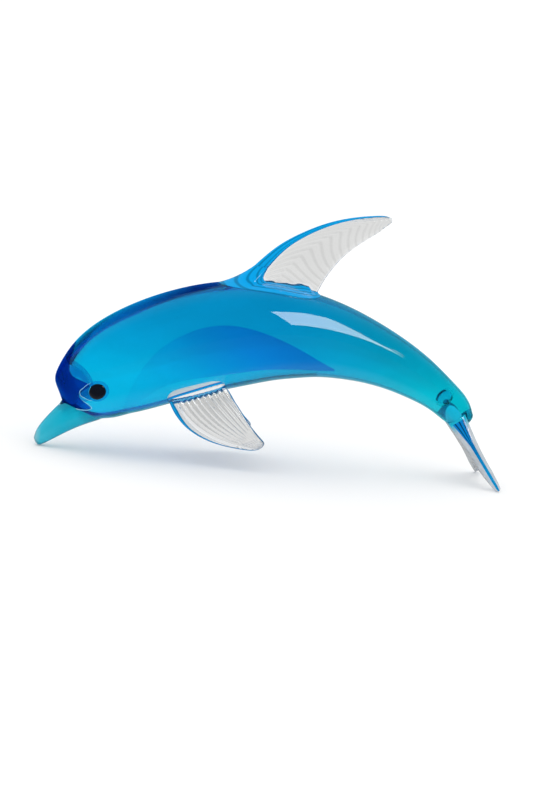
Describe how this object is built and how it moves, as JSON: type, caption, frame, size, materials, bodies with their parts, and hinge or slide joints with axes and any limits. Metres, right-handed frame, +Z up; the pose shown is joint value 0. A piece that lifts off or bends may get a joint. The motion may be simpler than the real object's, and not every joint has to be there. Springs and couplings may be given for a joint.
{
  "type": "glass figurine",
  "caption": "Leaping dolphin figurine in hot-worked glass: arched aqua body, cobalt forehead and back stripe, crimped clear fins; rests on beak and tail flukes.",
  "frame": {"origin": "centre of the overall footprint, on the surface that the figurine stands on", "axes": "+X from nose to tail, +Z up, -Y to the dolphin's left side"},
  "size_m": [0.2378, 0.0572, 0.1314],
  "materials": {
    "casing_glass": "fire-polished, smooth",
    "aqua_glass": "transparent aqua, fire-polished",
    "blue_glass": "transparent deep blue",
    "cobalt_glass": "transparent cobalt, fire-polished",
    "clear_glass": "clear crystal, crimped",
    "black_glass": "opaque black, glossy"
  },
  "bodies": {
    "root": {"casing": "casing_glass", "aqua_gather": "aqua_glass", "blue_core": "blue_glass", "cobalt_cap": "cobalt_glass", "back_stripe": "cobalt_glass", "beak": "aqua_glass", "eye_bead_left": "black_glass", "eye_bead_right": "black_glass", "eye_ring_left": "clear_glass", "eye_ring_right": "clear_glass", "dorsal_saddle": "blue_glass", "dorsal_edge": "blue_glass", "dorsal_panel": "clear_glass", "pectoral_pad_left": "blue_glass", "pectoral_pad_right": "blue_glass", "pectoral_edge_left": "clear_glass", "pectoral_edge_right": "clear_glass", "pectoral_panel_left": "clear_glass", "pectoral_panel_right": "clear_glass", "tail_knuckle": "clear_glass", "fluke_blade_left": "clear_glass", "fluke_blade_right": "clear_glass", "fluke_edge_left": "blue_glass", "fluke_edge_right": "blue_glass"}
  },
  "joints": []
}
